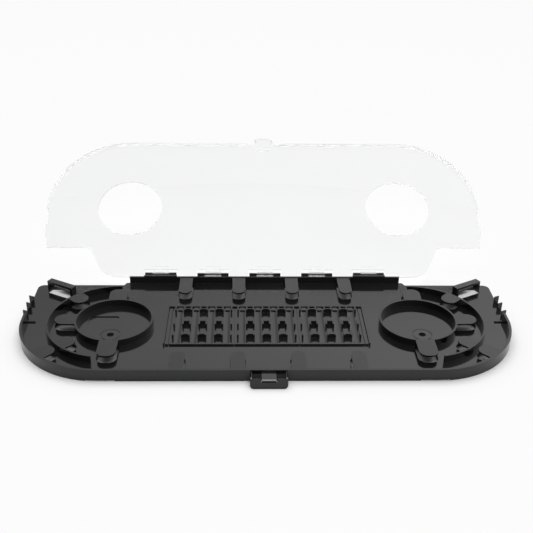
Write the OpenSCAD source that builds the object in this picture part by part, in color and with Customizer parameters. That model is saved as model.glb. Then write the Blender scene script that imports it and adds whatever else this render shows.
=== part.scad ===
// Fibre splice tray: a shallow moulded tray with two winding drums, three splice
// holders and a clear cover hinged along the back wall, shown standing open.
// +X is to the right, +Y to the back, +Z up. The origin lies on the base plane,
// midway between the two screw holes.

/* [Tray] */
// Distance between the centres of the two winding drums
drum_spacing = 195.6; // [190:0.2:200]
// Outer radius of a winding drum, which sets the tightest bend of the fibre
drum_r = 25; // [24:0.5:27]
// How far the drum centres lie behind the screw holes
drum_offset = 11; // [10:0.1:12]
// Radius of the tray's rounded front corners
corner_r = 56; // [55.5:0.1:56.5]
// Distance between the centres of the two front corners
corner_spacing = 201.6; // [199:0.2:204]
// Height of the rim, drums and guides above the tray floor
wall_h = 4.75; // [4.5:0.05:5]
// Thickness of the tray floor
floor_t = 1.2; // [1.1:0.1:1.4]
// Height of the foot rim below the floor
foot_h = 1.8; // [1.6:0.1:2]
// Thickness of the outer rim
rim_t = 1.6; // [1.4:0.1:1.8]
// Thickness of the drum and guide walls
wall_t = 1.2; // [1:0.1:1.3]
// Thickness of the fibre retaining tabs
tab_t = 1.1; // [0.9:0.1:1.2]

/* [Fibre guides] */
// Mean radius of the arc guides around the drums
guide_r = 42.2; // [41.8:0.1:42.6]
// Reach of the retaining tab at the front of a drum, from the drum centre
front_tab_r = 41.4; // [40:0.1:41.6]
// Reach of the retaining tabs at the side and back of a drum
side_tab_r = 37.8; // [36:0.1:38.4]
// Width of the straight tabs of the front and back rows
row_tab_w = 8.9; // [8:0.1:10]
// Spacing of the straight tabs along a row
row_tab_pitch = 36.4; // [36:0.1:37]

/* [Screw mounting] */
// Radius of each screw hole
screw_r = 2.2; // [1.6:0.1:2.4]
// Radius of the boss around each screw hole
boss_r = 6.3; // [6:0.1:7]
// Distance between the two screw holes
screw_spacing = 198; // [196:0.2:200]

/* [Splice holders] */
// Width of one splice holder
holder_w = 40.5; // [39.8:0.1:40.5]
// Spacing of the splice holders
holder_pitch = 40.7; // [40.6:0.1:40.9]
// Depth of a splice holder from front to back
holder_d = 43.1; // [42.5:0.1:43.1]
// Thickness of a splice holder's base plate
holder_t = 1.1; // [1:0.1:1.3]
// Height of the gripping fingers above the base plate
finger_h = 3; // [2.6:0.1:3.1]
// Spacing of the splice channels
channel_pitch = 10.3; // [10.2:0.05:10.4]

/* [Cover and hinge] */
// Thickness of the clear cover
cover_t = 1.5; // [1.2:0.1:1.6]
// Angle through which the cover stands open
open_angle = 149; // [140:1:149]
// Radius of the access holes in the cover
cover_hole_r = 23.3; // [22:0.1:23.4]
// Depth of the skirt under the edge of the cover
skirt_h = 2; // [1.6:0.1:2.2]
// Radius of the hinge rods
rod_r = 0.8; // [0.7:0.05:0.85]
// Spacing of the five hinge clips
clip_pitch = 36.4; // [36:0.1:36.8]

/* [Hidden] */

$fn = 96;
eps = 0.01;
black = [0.035, 0.035, 0.038];
clear = [0.93, 0.95, 0.96, 0.35];

// Levels above the base plane.
floor_z = foot_h + floor_t;
rim_z = floor_z + wall_h;
tab_z = rim_z - tab_t;

// Plan of the tray, measured from the line through the drum centres.
drum_x = drum_spacing / 2;
end_x = corner_spacing / 2;
side_x = end_x + corner_r;
front_y = -corner_r;
back_y = 51.5;
back_corner_r = 4.2;
hinge_wall_y = 53.9;
hinge_wall_t = 1.2;
hinge_wall_x = 94.2;
hinge_wall_z = floor_z + 5.2;
jog_x = 98.2;
rim_end_y = 7.5;

// Retaining tabs.
drum_tab_w = 11.8;
drum_tab_round = 5;
guide_tab_w = 11.2;
guide_tab_reach = 11.3;
tab_slot_gap = 0.35;
rim_tab_angle = 226.5;
rim_tab_reach = 11.6;
guide_start = 90;
guide_end = 258;
front_tab_y = -36.3;
back_tab_y = 32.9;

// Latch pocket at the middle of the front rim.
pocket_x = 11.1;
pocket_d = 8;
pocket_t = 1;
pocket_side_z = rim_z - 0.55;
pocket_chamfer = 0.7;
tongue_x = 4.3;
tongue_gap = 0.55;
tongue_top = floor_z + 3.5;
tongue_t = 1.5;
tongue_chamfer = 0.5;
pocket_round = 2.2;
pocket_bevel = 1.3;

// Hinge: rods on the tray, hooks on the cover.
axis_y = 57.1;
axis_z = floor_z + 5.6;
clip_w = 21.8;
clip_gap = 11.4;
clip_t = 2.2;
lip_y = 56.5;
lip_t = 1.2;
lip_z = floor_z + 6.4;
raised_z = floor_z + 6.1;
raised_lip_z = floor_z + 6.75;
hook_w = 11;
hook_r = 1.7;
hook_bore_r = rod_r + 0.08;
arm_l = 7;
arm_t = 1;
arm_rise = 0.62;

// Cover, drawn closed and then swung open.
cover_gap = 0.1;
cover_z = hinge_wall_z + cover_gap;
cover_hole_x = 98.1;
cover_hole_y = 0.9;
skirt_t = 1;
skirt_gap = 0.15;
skirt_end_y = 4;
cover_back_y = axis_y + 2;
cover_flank_y = 34.9;
cover_flank_x = 127;
flank_r = 4.5;
neck_x = 102.3;
neck_r = 16.3;
neck_angle = 29;

// Splice holders.
holder_x = -0.3;
holder_y0 = -23.3;
holder_y1 = holder_y0 + holder_d;
finger_w = 1;
finger_d = 5;
finger_x = 2.25;
side_finger_x = 18.2;
peg_r = 1.5;
peg_x = 12;
peg_y = 12.3;
trough_w = 3.8;
trough_depth = 0.4;
trough_end_y = 16;
ledge_w = 3;
ledge_h = 0.4;

// Rows of fingers: the front of the fingers, then the place and thickness of the wall
// that joins each pair of them.
rows = [[12.5, 1, 0.9], [-4.8, 3.6, 1.3], [-17.4, 1, 0.9]];

// Frame around the row of holders.
strip_gap = 0.25;
strip_w = 2.1;
ridge_gap = 0.3;
ridge_t = 0.8;
ridge_h = 2;
rail_gap = 0.15;
rail_t = 1.2;

// Marks on the floor.
groove_w = 0.4;
groove_depth = 0.35;
label_depth = 0.6;
relief_h = 1;

// Points along an arc, from angle a0 to angle a1 in n steps.
function arc(cx, cy, r, a0, a1, n) =
    [for (i = [0:n]) let (a = a0 + (a1 - a0) * i / n) [cx + r * cos(a), cy + r * sin(a)]];

function mirrored(points) =
    [for (i = [len(points) - 1:-1:0]) [-points[i][0], points[i][1]]];

// Right-hand half of the floor's edge, front to back, drawn in by an inset.
function floor_half(inset) = concat(
    arc(end_x, 0, corner_r - inset, 270, 360, 36),
    arc(side_x - back_corner_r, back_y - back_corner_r, back_corner_r - inset, 0, 90, 8),
    [
        [jog_x + inset, back_y - inset],
        [jog_x - 1.7 + inset, hinge_wall_y + hinge_wall_t - 0.3 - inset]
    ]
);

module floor_shape(inset = 0) {
    half = floor_half(inset);
    polygon(concat(half, mirrored(half)));
}

module both_ends() {
    children();
    mirror([1, 0, 0]) children();
}

// Outline of a tab along +X, from x = 0 to a rounded end.
module tab_shape(length, width, round) {
    polygon(concat(
        [[0, width / 2], [0, -width / 2]],
        arc(length - round, -width / 2 + round, round, 270, 360, 8),
        arc(length - round, width / 2 - round, round, 0, 90, 8)
    ));
}

// Places a tab that points away from (or, with a turn of 180, towards) a drum centre.
module on_drum(angle, radius, turn = 0) {
    translate([-drum_x, 0]) rotate(angle) translate([radius, 0]) rotate(turn) children();
}

// All retaining tabs of the left end, grown by an amount for the floor slots below them.
module end_tabs(grow = 0) {
    root = drum_r - wall_t / 2;
    width = drum_tab_w + 2 * grow;
    on_drum(270, root) tab_shape(front_tab_r - root + grow, width, drum_tab_round);
    on_drum(180, root) tab_shape(side_tab_r - root + grow, width, drum_tab_w / 2);
    on_drum(92, root) tab_shape(side_tab_r - root + grow, width, drum_tab_round);
    for (angle = [135.5, 224.5])
        on_drum(angle, guide_r, 180)
            tab_shape(guide_tab_reach + grow, guide_tab_w + 2 * grow, guide_tab_w / 2);
    translate([-end_x, 0]) rotate(rim_tab_angle) translate([corner_r - rim_t / 2, 0]) rotate(180)
        tab_shape(rim_tab_reach + grow, guide_tab_w + 2 * grow, guide_tab_w / 2 - 0.8);
}

module row_tabs(grow = 0) {
    width = row_tab_w + 2 * grow;
    for (i = [-1.5:1:1.5]) {
        translate([i * row_tab_pitch, front_y + rim_t / 2])
            rotate(90) tab_shape(front_tab_y - front_y - rim_t / 2 + grow, width, row_tab_w / 2);
        translate([i * row_tab_pitch, hinge_wall_y + hinge_wall_t / 2])
            rotate(270)
                tab_shape(hinge_wall_y - back_tab_y + hinge_wall_t / 2 + grow, width, row_tab_w / 2);
    }
}

module tabs(grow = 0) {
    both_ends() end_tabs(grow);
    row_tabs(grow);
}

// Slotted port at a back corner: a bar on two posts over a slot in the floor.
port_x = -139;
port_y = 42.2;
port_turn = -29;
port_w = 21;
port_d = 4.6;
port_post = 1.8;
port_h = 6.8;
port_bar_t = 1.5;
port_slot_y = [-5.2, 3.3];

module at_port() {
    translate([port_x, port_y]) rotate(port_turn) children();
}

module port_slot() {
    at_port() translate([-port_w / 2 + port_post, port_slot_y[0]])
        square([port_w - 2 * port_post, port_slot_y[1] - port_slot_y[0]]);
}

module port_bridge() {
    at_port() difference() {
        translate([-port_w / 2, -port_d / 2, floor_z - 1]) cube([port_w, port_d, port_h + 1]);
        translate([-port_w / 2 + port_post, -port_d, 0])
            cube([port_w - 2 * port_post, 2 * port_d, floor_z + port_h - port_bar_t]);
    }
}

// Three upright blades on the edge of each end, between which tubes are tied down.
tooth_y = [10.9, 20.6, 29.2];
tooth_x = -158.2;
tooth_l = 3.1;
tooth_t = 0.9;
tooth_turn = -12;
tooth_slope = 0.5;
tooth_base_y = [8, 31];
tooth_base_x = -157.6;

module tooth() {
    top = floor_t + wall_h;
    translate([0, tooth_t / 2, 0]) rotate([90, 0, 0]) linear_extrude(tooth_t)
        polygon([[0, 0], [tooth_l, 0], [tooth_l, top - tooth_slope], [0, top]]);
}

module comb() {
    translate([tooth_base_x, tooth_base_y[0], foot_h])
        cube([3, tooth_base_y[1] - tooth_base_y[0], floor_t]);
    for (y = tooth_y)
        translate([tooth_x, y, foot_h]) rotate(tooth_turn) tooth();
    translate([-side_x + 0.6, 3.2, floor_z - 0.5]) cube([7.2, 0.9, 1.4]);
}

module rim_shape() {
    difference() {
        floor_shape();
        floor_shape(rim_t);
        translate([-200, rim_end_y]) square([400, 100]);
    }
}

module ring(radius, thickness) {
    difference() {
        circle(r = radius);
        circle(r = radius - thickness);
    }
}

module arc_guide() {
    far = 2 * guide_r;
    translate([-drum_x, 0]) difference() {
        ring(guide_r + wall_t / 2, wall_t);
        polygon([
            [0, 0], [0, far], [far, far], [far, -far],
            [far * cos(guide_end), far * sin(guide_end)]
        ]);
    }
}

module walls_shape() {
    rim_shape();
    both_ends() {
        translate([-drum_x, 0]) ring(drum_r, wall_t);
        arc_guide();
    }
    hinge_wall_shape();
}

module hinge_wall_shape() {
    translate([-hinge_wall_x, hinge_wall_y]) square([2 * hinge_wall_x, hinge_wall_t]);
}

// Low frame that holds the row of splice holders in place.
module holder_frame() {
    strip_x = 1.5 * holder_pitch + strip_gap;
    ridge_x = strip_x + strip_w + ridge_gap;
    rail_y = holder_y1 + rail_gap;
    translate([holder_x, 0, floor_z - 0.5]) {
        both_ends() {
            translate([strip_x, holder_y0, 0]) cube([strip_w, holder_d + 0.5, holder_t + 0.5]);
            translate([ridge_x, holder_y0 - 0.3, 0])
                cube([ridge_t, rail_y + rail_t - holder_y0 + 0.3, ridge_h + 0.5]);
        }
        translate([-ridge_x - ridge_t / 2, rail_y, 0])
            cube([2 * ridge_x + ridge_t, rail_t, ridge_h + 0.5]);
    }
}

// One hinge clip: a rod between two brackets behind the wall, each with an upright lip.
module hinge_clip(top, lip_top) {
    width = (clip_w - clip_gap) / 2;
    for (x = [-clip_w / 2, clip_gap / 2]) {
        translate([x, hinge_wall_y + 0.4, hinge_wall_z - clip_t])
            cube([width, lip_y + lip_t - hinge_wall_y - 0.4, top - hinge_wall_z + clip_t]);
        translate([x, lip_y, top - 1]) cube([width, lip_t, lip_top - top + 1]);
    }
    translate([-clip_gap / 2 - 0.5, axis_y, axis_z])
        rotate([0, 90, 0]) cylinder(r = rod_r, h = clip_gap + 1, $fn = 48);
}

module hinge_clips() {
    for (i = [-1:1]) translate([i * clip_pitch, 0, 0]) hinge_clip(hinge_wall_z, lip_z);
    for (i = [-2, 2]) translate([i * clip_pitch, 0, 0]) {
        hinge_clip(raised_z, raised_lip_z);
        translate([-clip_w / 2 - 0.5, hinge_wall_y, hinge_wall_z - 1])
            cube([clip_w + 1, hinge_wall_t, raised_z - hinge_wall_z + 1]);
    }
}

// Bevels an edge along X by a depth.
module edge_bevel(depth) {
    side = depth * sqrt(2);
    rotate([45, 0, 0]) cube([40, side, side], center = true);
}

// Pocket on the front rim that takes the cover's latch, with a tongue across it.
module latch_pocket() {
    translate([0, front_y, 0]) {
        difference() {
            translate([0, 0.4, 0]) rotate([90, 0, 0])
                linear_extrude(pocket_d + 0.4)
                    polygon(concat(
                        [
                            [pocket_x, pocket_side_z - pocket_chamfer],
                            [pocket_x - pocket_chamfer, pocket_side_z],
                            [-pocket_x + pocket_chamfer, pocket_side_z],
                            [-pocket_x, pocket_side_z - pocket_chamfer]
                        ],
                        arc(-pocket_x + pocket_round, pocket_round, pocket_round, 180, 270, 6),
                        arc(pocket_x - pocket_round, pocket_round, pocket_round, 270, 360, 6)
                    ));
            translate([-pocket_x + pocket_t, -pocket_d + pocket_t, -1])
                cube([2 * (pocket_x - pocket_t), pocket_d - pocket_t, 20]);
            translate([-tongue_x - tongue_gap, -pocket_d - 1, tongue_top - tongue_t - tongue_gap])
                cube([2 * (tongue_x + tongue_gap), 3, 10]);
            translate([-20, -pocket_d, 0]) rotate([-28, 0, 0])
                translate([0, -2, -5]) cube([40, 2 + eps, 5 + pocket_bevel]);
            translate([0, -pocket_d + pocket_t, pocket_side_z]) edge_bevel(pocket_chamfer);
        }
        difference() {
            translate([-tongue_x, -pocket_d, tongue_top - tongue_t])
                cube([2 * tongue_x, pocket_d + 0.4, tongue_t]);
            translate([0, -pocket_d, tongue_top]) edge_bevel(tongue_chamfer);
        }
    }
}

module screw_hole() {
    translate([0, 0, -1]) cylinder(r = screw_r, h = 20);
}

// Fine groove in the floor that marks the edge of the boss below.
module boss_groove() {
    translate([0, 0, floor_z - groove_depth]) linear_extrude(1) ring(boss_r, groove_w);
}

module tray() {
    color(black) translate([0, drum_offset, 0]) difference() {
        union() {
            difference() {
                translate([0, 0, foot_h]) linear_extrude(floor_t) floor_shape();
                translate([0, 0, foot_h - 1]) linear_extrude(floor_t + 2) {
                    difference() {
                        tabs(tab_slot_gap);
                        walls_shape();
                    }
                    both_ends() port_slot();
                }
                for (i = [-1:1], side = [-1, 1])
                    translate([holder_x + i * holder_pitch + side * peg_x, peg_y, 0])
                        cylinder(r = peg_r + 0.1, h = 10, $fn = 32);
                translate([-drum_x - 17.4, -0.2, floor_z - label_depth]) label_recess();
            }
            translate([0, 0, foot_h]) linear_extrude(rim_z - foot_h) walls_shape();
            translate([0, 0, foot_h]) linear_extrude(hinge_wall_z - foot_h) hinge_wall_shape();
            translate([0, 0, tab_z]) linear_extrude(tab_t) tabs();
            foot_rim();
            both_ends() {
                comb();
                port_bridge();
                translate([-screw_spacing / 2, -drum_offset, 0]) cylinder(r = boss_r, h = floor_z);
            }
            holder_frame();
            latch_pocket();
            hinge_clips();
        }
        both_ends() translate([-screw_spacing / 2, -drum_offset, 0]) {
            screw_hole();
            boss_groove();
        }
    }
}

// Blank name plate sunk in the floor of the left drum.
module label_recess() {
    linear_extrude(1) polygon(concat(
        arc(1.8, 1.8, 1.8, 180, 270, 5),
        arc(17.4, 1.8, 1.8, 270, 360, 5),
        arc(17.4, 9.2, 1.8, 0, 90, 5),
        arc(1.8, 9.2, 1.8, 90, 180, 5)
    ));
}

// Foot rim under the floor, with a shallow relief in front of each drum.
module foot_rim() {
    difference() {
        linear_extrude(foot_h + 0.5) difference() {
            floor_shape();
            floor_shape(rim_t);
        }
        both_ends()
            translate([-screw_spacing / 2 - 8.7, front_y - 1, -1]) cube([17.4, 6, 1 + relief_h]);
    }
}

// Half outline of the cover, closed, from the front middle to the back.
function cover_half(inset) = concat(
    arc(end_x, 0, corner_r + skirt_gap + skirt_t - inset, 270, 360, 36),
    [
        [side_x + 1.1 - inset, skirt_end_y],
        [side_x - 0.2 - inset, skirt_end_y + 0.8],
        [side_x - 0.2 - inset, 15],
        [side_x + 1 - inset, 16],
        [side_x + 0.4 - inset, 26],
        [side_x - 1 - inset, 27],
        [side_x - 1.8 - inset, cover_flank_y - inset],
        [cover_flank_x, cover_flank_y - inset]
    ],
    arc(cover_flank_x, cover_flank_y + flank_r, flank_r, 268, 180 + neck_angle, 6),
    arc(neck_x, cover_back_y - neck_r, neck_r, neck_angle, 88, 10),
    [[hinge_wall_x + 3, cover_back_y]]
);

module cover_shape(inset = 0) {
    half = cover_half(inset);
    polygon(concat(half, mirrored(half)));
}

// Hook that clips over a hinge rod, seen along the rod.
module hook_profile() {
    difference() {
        union() {
            circle(r = hook_r, $fn = 48);
            translate([-arm_l, arm_rise]) square([arm_l, arm_t]);
        }
        circle(r = hook_bore_r, $fn = 48);
        polygon([[0, 0], [-2.4, -3], [2.4, -3]]);
    }
}

module cover_hook() {
    translate([-hook_w / 2, axis_y, axis_z])
        rotate([90, 0, 90]) linear_extrude(hook_w) hook_profile();
}

module latch_tab() {
    translate([0, 0, cover_z]) linear_extrude(cover_t)
        polygon([
            [-7.6, -corner_r], [-5.1, -corner_r - pocket_d],
            [5.1, -corner_r - pocket_d], [7.6, -corner_r]
        ]);
    both_ends()
        translate([tongue_x + 0.6, -corner_r - 3, cover_z - 4.4]) cube([1.9, 1.4, 4.4 + cover_t / 2]);
}

module closed_cover() {
    difference() {
        union() {
            translate([0, 0, cover_z]) linear_extrude(cover_t) cover_shape();
            translate([0, 0, cover_z - skirt_h])
                linear_extrude(skirt_h + cover_t / 2) difference() {
                    cover_shape();
                    cover_shape(skirt_t);
                    translate([-200, skirt_end_y - 1]) square([400, 100]);
                    translate([-pocket_x - 0.5, -corner_r - 5]) square([2 * pocket_x + 1, 10]);
                }
            latch_tab();
        }
        both_ends()
            translate([-cover_hole_x, cover_hole_y, 0]) cylinder(r = cover_hole_r, h = 40);
        translate([-5.3, -corner_r + 0.6, 0]) cube([10.6, 2.8, 40]);
        for (i = [-2:2])
            translate([i * clip_pitch - clip_w / 2 - 0.7, 53, 0]) cube([clip_w + 1.4, 20, 40]);
    }
    for (i = [-2:2]) translate([i * clip_pitch, 0, 0]) cover_hook();
}

module cover() {
    color(clear)
        translate([0, drum_offset + axis_y, axis_z])
            rotate([-open_angle, 0, 0])
                translate([0, -axis_y, -axis_z]) closed_cover();
}

// A block that stands on the plate of a splice holder, rooted in it.
module upright(x, y, width, depth, height) {
    translate([x - width / 2, y, holder_t - 0.5]) cube([width, depth, height + 0.5]);
}

// Shallow trough, front to back, in which a splice lies.
module trough() {
    radius = (pow(trough_w / 2, 2) + pow(trough_depth, 2)) / (2 * trough_depth);
    translate([0, holder_y0 + 1, holder_t + radius - trough_depth])
        rotate([-90, 0, 0]) cylinder(r = radius, h = trough_end_y - holder_y0 - 1);
}

// Open slot behind the wall of a back pair of fingers, through the plate.
module finger_slot(back) {
    start = back[0] + back[1] + back[2];
    width = 2 * finger_x - finger_w;
    translate([-width / 2, start, -1]) cube([width, holder_y1 - start + 1, holder_t + 2]);
}

module splice_holder() {
    translate([0, 0, floor_z]) {
        difference() {
            translate([-holder_w / 2, holder_y0, 0]) cube([holder_w, holder_d, holder_t]);
            for (column = [-1:1])
                translate([column * channel_pitch, 0, 0]) finger_slot(rows[0]);
            for (channel = [-1.5:1:1.5])
                translate([channel * channel_pitch, 0, 0]) trough();
        }
        for (row = rows) {
            for (column = [-1:1], side = [-1, 1])
                upright(column * channel_pitch + side * finger_x, row[0], finger_w, finger_d, finger_h);
            for (column = [-1:1])
                upright(column * channel_pitch, row[0] + row[1], 2 * finger_x, row[2], finger_h);
            for (side = [-1, 1])
                upright(side * side_finger_x, row[0], finger_w, finger_d, finger_h);
        }
        for (channel = [-1.5:1:1.5])
            upright(channel * channel_pitch, trough_end_y, ledge_w, holder_y1 - trough_end_y - 0.2, ledge_h);
        for (side = [-1, 1])
            translate([side * peg_x, peg_y, -1.6])
                cylinder(r = peg_r, h = 1.6 + holder_t / 2, $fn = 32);
    }
}

module placed_holder(index) {
    color(black) translate([holder_x + index * holder_pitch, drum_offset, 0]) splice_holder();
}

module splice_holder_left() {
    placed_holder(-1);
}

module splice_holder_centre() {
    placed_holder(0);
}

module splice_holder_right() {
    placed_holder(1);
}

tray();
cover();
splice_holder_left();
splice_holder_centre();
splice_holder_right();
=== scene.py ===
"""Looks of a fibre splice tray: black moulded plastic under a clear hinged cover."""

import logging
import math
from dataclasses import dataclass
from typing import Optional

import bpy
from mathutils import Matrix, Vector


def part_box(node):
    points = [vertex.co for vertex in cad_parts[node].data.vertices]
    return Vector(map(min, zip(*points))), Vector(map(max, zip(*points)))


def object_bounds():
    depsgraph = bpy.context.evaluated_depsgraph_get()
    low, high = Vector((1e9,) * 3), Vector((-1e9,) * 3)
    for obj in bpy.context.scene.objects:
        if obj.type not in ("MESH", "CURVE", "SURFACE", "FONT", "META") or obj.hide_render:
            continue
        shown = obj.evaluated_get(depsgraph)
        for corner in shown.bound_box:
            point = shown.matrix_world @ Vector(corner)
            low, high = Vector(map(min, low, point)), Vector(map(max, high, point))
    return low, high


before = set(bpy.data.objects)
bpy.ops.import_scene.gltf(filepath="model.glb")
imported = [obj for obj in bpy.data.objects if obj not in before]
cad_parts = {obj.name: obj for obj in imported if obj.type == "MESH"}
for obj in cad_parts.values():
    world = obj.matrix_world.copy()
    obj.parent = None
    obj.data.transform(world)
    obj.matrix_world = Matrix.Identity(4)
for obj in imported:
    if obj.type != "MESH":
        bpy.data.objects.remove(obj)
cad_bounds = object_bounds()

LOG = logging.getLogger("fibre_splice_tray")
MM = 0.001
WHITE = (1.0, 1.0, 1.0, 1.0)

# The values that most of a noise lies between.
NOISE_SPAN = (0.3, 0.7)


class Graph:
    """A small helper that places and links the nodes of one node tree."""

    def __init__(self, tree: bpy.types.NodeTree) -> None:
        """Start from an empty tree.

        Args:
            tree: the node tree, which is cleared first.
        """
        self.tree = tree
        self.tree.nodes.clear()

    def node(self, kind: str, **inputs: object) -> bpy.types.Node:
        """Add a node and set its unlinked inputs.

        Args:
            kind: Blender's node type.
            inputs: values by socket name, with underscores for spaces.

        Returns:
            The new node.
        """
        made = self.tree.nodes.new(kind)
        for key, value in inputs.items():
            made.inputs[key.replace("_", " ")].default_value = value
        return made

    def link(self, source: bpy.types.NodeSocket, target: bpy.types.NodeSocket) -> None:
        """Join two sockets.

        Args:
            source: the output that is read.
            target: the input that reads it.
        """
        self.tree.links.new(source, target)

    def math(self, operation: str, *values: object) -> bpy.types.NodeSocket:
        """Work out one value from others.

        Args:
            operation: Blender's name for the operation.
            values: what it works on, as sockets or plain numbers.

        Returns:
            The result.
        """
        made = self.node("ShaderNodeMath")
        made.operation = operation
        for target, value in zip(made.inputs, values):
            if isinstance(value, float):
                target.default_value = value
            else:
                self.link(value, target)
        return made.outputs[0]

    def carry(self, value: bpy.types.NodeSocket, start: tuple, end: tuple,
              smooth: bool = False) -> bpy.types.NodeSocket:
        """Carry one range of a value onto another.

        Args:
            value: the value that is read.
            start: the low and high ends of the range that it is read in.
            end: what they become.
            smooth: whether the change eases in and out.

        Returns:
            The value in the new range.
        """
        made = self.node("ShaderNodeMapRange", From_Min=start[0], From_Max=start[1],
                         To_Min=end[0], To_Max=end[1])
        if smooth:
            made.interpolation_type = "SMOOTHSTEP"
        self.link(value, made.inputs["Value"])
        return made.outputs["Result"]

    def mix(self, share: bpy.types.NodeSocket, first: bpy.types.NodeSocket,
            second: bpy.types.NodeSocket) -> bpy.types.NodeSocket:
        """Mix two shaders.

        Args:
            share: how much of the second one shows, from 0 to 1.
            first: the shader that shows at 0.
            second: the shader that shows at 1.

        Returns:
            The mixed shader.
        """
        made = self.node("ShaderNodeMixShader")
        for target, source in zip(made.inputs, (share, first, second)):
            self.link(source, target)
        return made.outputs[0]


@dataclass(frozen=True)
class Relief:
    """Shallow random relief in a surface.

    Attributes:
        scale: how many variations there are in a metre.
        detail: how many finer layers it has.
        strength: how much of the relief shows.
        depth: its height in metres.
    """

    scale: float
    detail: float
    strength: float
    depth: float


class Shader(Graph):
    """The node graph of one material, with the patterns that its surface is made of."""

    def __init__(self, name: str) -> None:
        """Start an empty material.

        Args:
            name: name of the material.
        """
        self.material = bpy.data.materials.new(name)
        self.material.use_nodes = True
        super().__init__(self.material.node_tree)

    def place(self) -> bpy.types.NodeSocket:
        """Coordinates on the object, in metres.

        Returns:
            The coordinates.
        """
        return self.node("ShaderNodeTexCoord").outputs["Object"]

    def noise(self, place: bpy.types.NodeSocket, scale: float, detail: float) -> bpy.types.NodeSocket:
        """Smooth random variation over the surface, about 0.5.

        Args:
            place: the coordinates that it reads.
            scale: how many variations there are in a metre.
            detail: how many finer layers it has.

        Returns:
            The value from 0 to 1.
        """
        noise = self.node("ShaderNodeTexNoise", Scale=scale, Detail=detail)
        self.link(place, noise.inputs["Vector"])
        return noise.outputs["Fac"]

    def blend(self, value: bpy.types.NodeSocket, first: tuple, second: tuple) -> bpy.types.NodeSocket:
        """Blend two colours by a noise.

        Args:
            value: the noise.
            first: colour at its low values.
            second: colour at its high values.

        Returns:
            The blended colour.
        """
        ramp = self.node("ShaderNodeValToRGB")
        for stop, position, colour in zip(ramp.color_ramp.elements, NOISE_SPAN, (first, second)):
            stop.position = position
            stop.color = colour
        self.link(value, ramp.inputs["Fac"])
        return ramp.outputs["Color"]

    def bump(self, place: bpy.types.NodeSocket, relief: Relief,
             normal: Optional[bpy.types.NodeSocket] = None) -> bpy.types.NodeSocket:
        """Raise the surface by a relief.

        Args:
            place: the coordinates that it reads.
            relief: the relief.
            normal: the normal that it starts from, if it isn't the mesh's.

        Returns:
            The new normal.
        """
        bump = self.node("ShaderNodeBump", Strength=relief.strength, Distance=relief.depth)
        self.link(self.noise(place, relief.scale, relief.detail), bump.inputs["Height"])
        if normal is not None:
            self.link(normal, bump.inputs["Normal"])
        return bump.outputs["Normal"]

    def finish(self, surface: bpy.types.NodeSocket) -> bpy.types.Material:
        """Send a shader to the output.

        Args:
            surface: the shader socket that is shown.

        Returns:
            The finished material.
        """
        out = self.node("ShaderNodeOutputMaterial")
        self.link(surface, out.inputs["Surface"])
        return self.material


@dataclass(frozen=True)
class BlackPlastic:
    """Gloss black moulded plastic: soft edges, faint flow marks and a very fine grain.

    Attributes:
        colour: colour at one end of the flow marks.
        flow_colour: colour at the other end.
        flow_scale: how many flow marks there are in a metre.
        flow_detail: how many finer layers they have.
        polish: roughness where it is glossiest.
        dull: roughness where it is dullest.
        satin: roughness that the tops of the rim, walls and tabs have on top of that.
        satin_z: height in metres from which it is there in full.
        satin_step: height in metres over which it comes in.
        ior: refractive index.
        edge_radius: how far an edge is rounded, in metres.
        edge_samples: how finely the rounding is worked out.
        sink: shallow waves of a moulded face.
        grain: fine grain of the mould.
    """

    colour: tuple = (0.005, 0.005, 0.0054, 1.0)
    flow_colour: tuple = (0.010, 0.010, 0.0106, 1.0)
    flow_scale: float = 22.0
    flow_detail: float = 4.0
    polish: float = 0.06
    dull: float = 0.14
    satin: float = 0.2
    satin_z: float = 0.0077
    satin_step: float = 0.0001
    ior: float = 1.46
    edge_radius: float = 0.00013
    edge_samples: int = 4
    sink: Relief = Relief(scale=90.0, detail=2.0, strength=0.05, depth=0.0004)
    grain: Relief = Relief(scale=1400.0, detail=2.0, strength=0.03, depth=0.00005)

    def material(self) -> bpy.types.Material:
        """Build the material.

        Returns:
            The black plastic.
        """
        shader = Shader("black_gloss_plastic")
        place = shader.place()
        flow = shader.noise(place, self.flow_scale, self.flow_detail)
        bsdf = shader.node("ShaderNodeBsdfPrincipled", IOR=self.ior)
        shader.link(shader.blend(flow, self.colour, self.flow_colour), bsdf.inputs["Base Color"])
        shader.link(self.roughness(shader, place, flow), bsdf.inputs["Roughness"])
        edge = shader.node("ShaderNodeBevel", Radius=self.edge_radius)
        edge.samples = self.edge_samples
        waves = shader.bump(place, self.sink, edge.outputs["Normal"])
        shader.link(shader.bump(place, self.grain, waves), bsdf.inputs["Normal"])
        return shader.finish(bsdf.outputs["BSDF"])

    def roughness(self, shader: Shader, place: bpy.types.NodeSocket,
                  flow: bpy.types.NodeSocket) -> bpy.types.NodeSocket:
        """Roughness that follows the flow marks and is higher on the top faces.

        Args:
            shader: the material's graph.
            place: the coordinates that it reads.
            flow: the noise of the flow marks.

        Returns:
            The roughness.
        """
        parts = shader.node("ShaderNodeSeparateXYZ")
        shader.link(place, parts.inputs[0])
        rise = (self.satin_z - self.satin_step, self.satin_z)
        top = shader.carry(parts.outputs["Z"], rise, (0.0, self.satin))
        return shader.math("ADD", shader.carry(flow, NOISE_SPAN, (self.polish, self.dull)), top)


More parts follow.
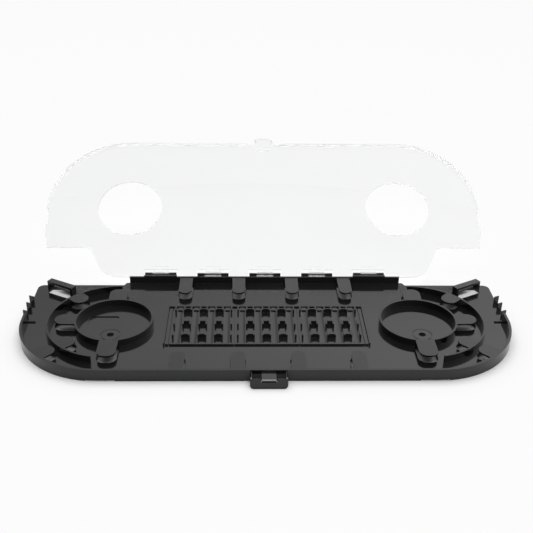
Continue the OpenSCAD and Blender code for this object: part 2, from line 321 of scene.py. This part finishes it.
@dataclass(frozen=True)
class ClearPlastic:
    """Clear polished plastic, faintly grey, with slight ripples and hazier patches.

    Attributes:
        colour: tint of the plastic.
        haze_colour: tint of the hazier patches.
        haze_scale: how many patches there are in a metre.
        haze_detail: how many finer layers they have.
        polish: roughness where it is clearest.
        haze: roughness where it is haziest.
        ior: refractive index.
        body: how strongly the sheet shows, where 1 is in full.
        ripple: shallow waves of the sheet.
    """

    colour: tuple = (0.838, 0.842, 0.846, 1.0)
    haze_colour: tuple = (0.815, 0.82, 0.825, 1.0)
    haze_scale: float = 18.0
    haze_detail: float = 3.0
    polish: float = 0.01
    haze: float = 0.025
    ior: float = 1.45
    body: float = 0.5
    ripple: Relief = Relief(scale=30.0, detail=1.0, strength=0.03, depth=0.0004)

    def material(self) -> bpy.types.Material:
        """Build the material.

        Returns:
            The clear plastic.
        """
        shader = Shader("clear_polished_plastic")
        place = shader.place()
        haze = shader.noise(place, self.haze_scale, self.haze_detail)
        bsdf = shader.node("ShaderNodeBsdfPrincipled", IOR=self.ior, Transmission_Weight=1.0,
                           Alpha=self.body)
        shader.link(shader.blend(haze, self.colour, self.haze_colour), bsdf.inputs["Base Color"])
        shader.link(shader.carry(haze, NOISE_SPAN, (self.polish, self.haze)), bsdf.inputs["Roughness"])
        shader.link(shader.bump(place, self.ripple), bsdf.inputs["Normal"])
        return shader.finish(bsdf.outputs["BSDF"])


@dataclass(frozen=True)
class StudioCamera:
    """Camera standing in front of the tray and looking down on it.

    Attributes:
        focal_mm: focal length.
        sensor_mm: width of the sensor.
        place_mm: where it stands.
        pitch_deg: how far it looks down.
        yaw_deg: how far it is turned from +Y towards +X.
        roll_deg: how far it leans about its own line of sight.
        reach: how far it sees, in metres.
    """

    focal_mm: float = 57.11
    sensor_mm: float = 36.0
    place_mm: tuple = (-14.5, -449.67, 298.62)
    pitch_deg: float = 28.706
    yaw_deg: float = 1.717
    roll_deg: float = -0.920
    reach: float = 50.0

    def turn(self) -> Matrix:
        """Work out which way the camera faces.

        Returns:
            The camera's rotation.
        """
        pitch, yaw, roll = (math.radians(a) for a in (self.pitch_deg, self.yaw_deg, self.roll_deg))
        level = Vector((math.cos(yaw), -math.sin(yaw), 0.0))
        forward = Vector((math.sin(yaw) * math.cos(pitch), math.cos(yaw) * math.cos(pitch),
                          -math.sin(pitch)))
        down = forward.cross(level)
        right = math.cos(roll) * level + math.sin(roll) * down
        up = math.sin(roll) * level - math.cos(roll) * down
        return Matrix((right, up, -forward)).transposed().to_4x4()

    def build(self) -> bpy.types.Object:
        """Make the camera and set it as the scene's.

        Returns:
            The camera object.
        """
        data = bpy.data.cameras.new("camera")
        data.lens = self.focal_mm
        data.sensor_width = self.sensor_mm
        data.clip_end = self.reach
        camera = bpy.data.objects.new("camera", data)
        camera.matrix_world = Matrix.Translation([v * MM for v in self.place_mm]) @ self.turn()
        bpy.context.scene.collection.objects.link(camera)
        bpy.context.scene.camera = camera
        return camera


@dataclass(frozen=True)
class Softbox:
    """A rectangular soft light.

    Attributes:
        name: name of the light.
        place: where it hangs, in metres.
        aim: the point that it faces, in metres.
        size: its width and height, in metres.
        watts: its power.
        mirrored: whether the plastics mirror it or show it through.
    """

    name: str
    place: tuple
    aim: tuple
    size: tuple
    watts: float
    mirrored: bool = True

    def build(self) -> bpy.types.Object:
        """Hang the light.

        Returns:
            The light object.
        """
        data = bpy.data.lights.new(self.name, "AREA")
        data.shape = "RECTANGLE"
        data.size, data.size_y = self.size
        data.energy = self.watts
        light = bpy.data.objects.new(self.name, data)
        turn = (Vector(self.aim) - Vector(self.place)).to_track_quat("-Z", "Y")
        light.matrix_world = Matrix.Translation(self.place) @ turn.to_matrix().to_4x4()
        light.visible_glossy = self.mirrored
        light.visible_transmission = self.mirrored
        bpy.context.scene.collection.objects.link(light)
        return light


@dataclass(frozen=True)
class Studio:
    """White floor, pale surroundings, a broad light above and a small one above the front.

    Attributes:
        lights: the lights.
        floor_size: side of the floor, in metres.
        floor_gap: how far the floor lies below the tray, in metres.
        floor_white: brightness of the floor round the tray.
        painted_floor_shade: painted shade, the darker grey that the floor's own colour takes under the
            tray.
        painted_shade_span: distances from the plan's core between which the painted shade turns into
            floor_white.
        plan_round: radius of the corners of the tray's plan, in metres.
        latch_reach: how far the latch pocket stands out in front of the rim.
        glow: share of plain white far from the tray.
        glow_reach: distance from the plan's edge over which it comes in.
        backdrop: brightness of plain white.
        ambient: brightness of the surroundings as a light.
        gloss_low: their brightness in the gloss, low down.
        gloss_high: their brightness in the gloss, high up.
        gloss_rise: how high, as a share of the direction, the one becomes the other.
        gloss_tilt: how much brighter they are in the gloss towards +X.
    """

    lights: tuple = (
        Softbox("overhead_light", (0.0, 0.5, 2.0), (0.0, 0.1, 0.0), (2.8, 2.2), 37.0, mirrored=False),
        Softbox("front_light", (0.1, -1.15, 1.75), (0.0, 0.0, 0.0), (1.0, 0.5), 12.0),
    )
    floor_size: float = 8.0
    floor_gap: float = 0.0002
    floor_white: float = 0.95
    # Painted shade: the floor's own colour is made darker under the tray than round it.
    painted_floor_shade: float = 0.4
    painted_shade_span: tuple = (0.044, 0.052)
    plan_round: float = 0.056
    latch_reach: float = 0.0065
    glow: float = 0.92
    glow_reach: float = 0.016
    backdrop: float = 0.975
    ambient: float = 0.2
    gloss_low: float = 0.85
    gloss_high: float = 1.3
    gloss_rise: tuple = (0.48, 0.57)
    gloss_tilt: float = 1.0

    def world(self) -> None:
        """Surroundings: white where seen, pale grey in the gloss, dim as a light."""
        world = bpy.data.worlds.new("studio")
        world.use_nodes = True
        graph = Graph(world.node_tree)
        path = graph.node("ShaderNodeLightPath").outputs
        seen = graph.math("MAXIMUM", path["Is Camera Ray"], path["Is Transmission Ray"])
        gloss = graph.node("ShaderNodeBackground", Color=WHITE)
        graph.link(self.gloss_light(graph), gloss.inputs["Strength"])
        dim, plain = (graph.node("ShaderNodeBackground", Color=WHITE, Strength=level).outputs[0]
                      for level in (self.ambient, self.backdrop))
        unseen = graph.mix(path["Is Glossy Ray"], dim, gloss.outputs[0])
        out = graph.node("ShaderNodeOutputWorld")
        graph.link(graph.mix(seen, unseen, plain), out.inputs["Surface"])
        bpy.context.scene.world = world

    def gloss_light(self, graph: Graph) -> bpy.types.NodeSocket:
        """Strength of the surroundings in the gloss, which grows upwards and towards +X.

        Args:
            graph: the world's graph.

        Returns:
            The smooth rise from gloss_low to gloss_high with the direction's height, times
            1 + gloss_tilt * x, where x is the direction's share along X.
        """
        way = graph.node("ShaderNodeTexCoord").outputs["Generated"]
        parts = graph.node("ShaderNodeSeparateXYZ")
        graph.link(way, parts.inputs[0])
        levels = (self.gloss_low, self.gloss_high)
        rise = graph.carry(parts.outputs["Z"], self.gloss_rise, levels, smooth=True)
        tilt = graph.math("MULTIPLY_ADD", parts.outputs["X"], self.gloss_tilt, 1.0)
        return graph.math("MULTIPLY", rise, tilt)

    def floor(self) -> bpy.types.Object:
        """White floor that takes the tray's soft shadow and has painted shade in its colour under the
        tray.

        Returns:
            The floor object.
        """
        half = self.floor_size / 2
        low = cad_bounds[0][2] - self.floor_gap
        corners = [(-half, -half, low), (half, -half, low), (half, half, low), (-half, half, low)]
        mesh = bpy.data.meshes.new("floor")
        mesh.from_pydata(corners, [], [(0, 1, 2, 3)])
        floor = bpy.data.objects.new("floor", mesh)
        bpy.context.scene.collection.objects.link(floor)
        floor.data.materials.append(self.floor_material())
        return floor

    def core_distance(self, shader: Shader) -> bpy.types.NodeSocket:
        """Distance from the core of the tray's plan, which is its plan less the corner radius.

        Args:
            shader: the floor's graph.

        Returns:
            The distance in metres, which is plan_round at the edge of the tray.
        """
        low, high = (Vector(corner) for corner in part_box("tray"))
        low.y += self.latch_reach
        middle, half = (low + high) / 2, (high - low) / 2
        value = shader.place()
        for operation, other in (
            ("SUBTRACT", (middle.x, middle.y, 0.0)),
            ("ABSOLUTE", (0.0, 0.0, 0.0)),
            ("SUBTRACT", (half.x - self.plan_round, half.y - self.plan_round, 1.0)),
            ("MAXIMUM", (0.0, 0.0, 0.0)),
        ):
            step = shader.node("ShaderNodeVectorMath")
            step.operation = operation
            step.inputs[1].default_value = other
            shader.link(value, step.inputs[0])
            value = step.outputs["Vector"]
        length = shader.node("ShaderNodeVectorMath")
        length.operation = "LENGTH"
        shader.link(value, length.inputs[0])
        return length.outputs["Value"]

    def floor_material(self) -> bpy.types.Material:
        """Matt white that is plain white to the eye away from the tray.

        The share of plain white grows with the distance from the tray's rounded plan, so
        the shadow under and round the tray stays. Under the tray the matt colour itself is
        darkened as painted shade, and turns back to floor_white across painted_shade_span.

        Returns:
            The floor's material.
        """
        shader = Shader("white_floor")
        distance = self.core_distance(shader)
        edge = (self.plan_round, self.plan_round + self.glow_reach)
        share = shader.carry(distance, edge, (0.0, self.glow), smooth=True)
        path = shader.node("ShaderNodeLightPath").outputs
        seen = shader.math("MAXIMUM", path["Is Camera Ray"], path["Is Glossy Ray"])
        seen = shader.math("MAXIMUM", seen, path["Is Transmission Ray"])
        matt = shader.node("ShaderNodeBsdfDiffuse")
        # Painted shade: the matt colour is a darker grey under the tray's plan and white beyond it.
        shade = shader.carry(distance, self.painted_shade_span, (self.painted_floor_shade, self.floor_white))
        shader.link(shade, matt.inputs["Color"])
        plain = shader.node("ShaderNodeEmission", Color=WHITE, Strength=self.backdrop)
        amount = shader.math("MULTIPLY", share, seen)
        return shader.finish(shader.mix(amount, matt.outputs[0], plain.outputs[0]))

    def build(self) -> None:
        """Set up the whole studio."""
        self.world()
        self.floor()
        for light in self.lights:
            light.build()


def dress_nodes() -> None:
    """Give every CAD node its finish, and let the light through the cover to the tray."""
    black = BlackPlastic().material()
    clear = ClearPlastic().material()
    for name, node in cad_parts.items():
        material = clear if name == "cover" else black
        if not node.material_slots:
            node.data.materials.append(material)
        for slot in node.material_slots:
            slot.material = material
        LOG.info("dressed %s", name)
    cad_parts["cover"].visible_shadow = False


def main() -> None:
    """Build the studio and the tray's looks."""
    logging.basicConfig(level=logging.INFO)
    bpy.context.scene.view_settings.view_transform = "Standard"
    StudioCamera().build()
    Studio().build()
    dress_nodes()


if __name__ == "__main__":
    main()
